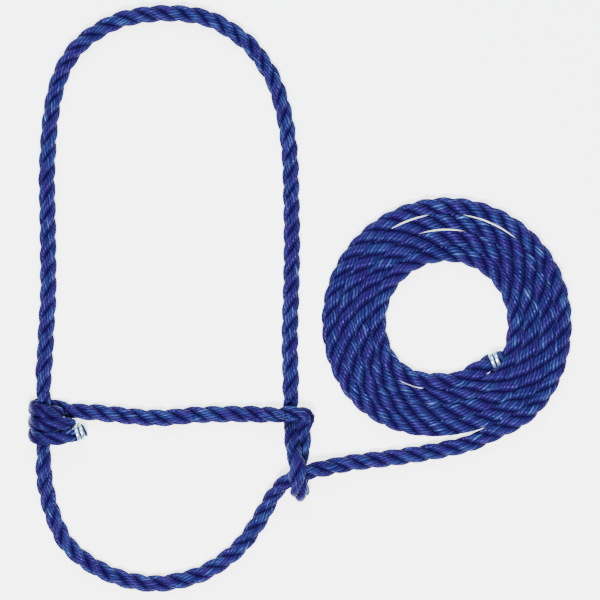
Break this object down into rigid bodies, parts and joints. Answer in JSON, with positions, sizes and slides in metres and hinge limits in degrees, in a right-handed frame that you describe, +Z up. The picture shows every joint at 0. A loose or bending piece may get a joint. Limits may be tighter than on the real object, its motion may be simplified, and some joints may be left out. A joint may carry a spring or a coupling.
{
  "type": "rope halter with lead",
  "caption": "Livestock halter made from one length of three-strand rope, with a sliding eye, a sliding loop and a coiled lead whose ends carry metal clamps.",
  "frame": {"origin": "middle of the halter's head part, on the surface that it lies on; the lead is not counted", "axes": "+Y from the chin to the crown, +X from the eye to the sliding loop and the lead, +Z up from the surface"},
  "size_m": [0.4334, 0.4678, 0.0357],
  "materials": {
    "rope": "satin",
    "clamp": "satin",
    "melted_end": "gloss"
  },
  "bodies": {
    "cheek": {"cheek_section": "rope", "loop_knot": "rope", "throat_section": "rope"},
    "nose": {"nose_band": "rope"},
    "eye": {"eye_lead_in": "rope", "eye_wrap_upper": "rope", "eye_wrap_middle": "rope", "eye_wrap_lower": "rope", "eye_tail": "rope", "eye_end_ring": "clamp", "eye_end_tip": "melted_end"},
    "crown": {"crown_strap": "rope"},
    "chin": {"chin_strap": "rope"},
    "lead": {"lead_run": "rope", "lead_coil": "rope", "lead_tail": "rope", "lead_end_ring": "clamp", "lead_end_tip": "melted_end"}
  },
  "joints": [
    {"name": "nose_swing", "type": "hinge", "parent": "cheek", "child": "nose", "pos_m": [0.082, -0.0926, 0.0124], "axis": [0, 0, 1], "range_deg": [-2.8, 2.8]},
    {"name": "eye_swing", "type": "hinge", "parent": "nose", "child": "eye", "pos_m": [-0.063, -0.0905, 0.00635], "axis": [0, 0, 1], "range_deg": [-2.8, 2.8]},
    {"name": "crown_fold", "type": "hinge", "parent": "cheek", "child": "crown", "pos_m": [0, -0.0704, 0.0195], "axis": [1, 0, 0], "range_deg": [0, 100]},
    {"name": "chin_fold", "type": "hinge", "parent": "cheek", "child": "chin", "pos_m": [-0.102, -0.1285, 0.0245], "axis": [-0.988, 0.1542, 0], "range_deg": [0, 90]},
    {"name": "lead_draw", "type": "slide", "parent": "cheek", "child": "lead", "axis": [0.98, 0.199, 0], "range_m": [0, 0.035]}
  ],
  "couplings": [
    {"joint": "eye_swing", "follows": "nose_swing", "ratio": -1}
  ]
}
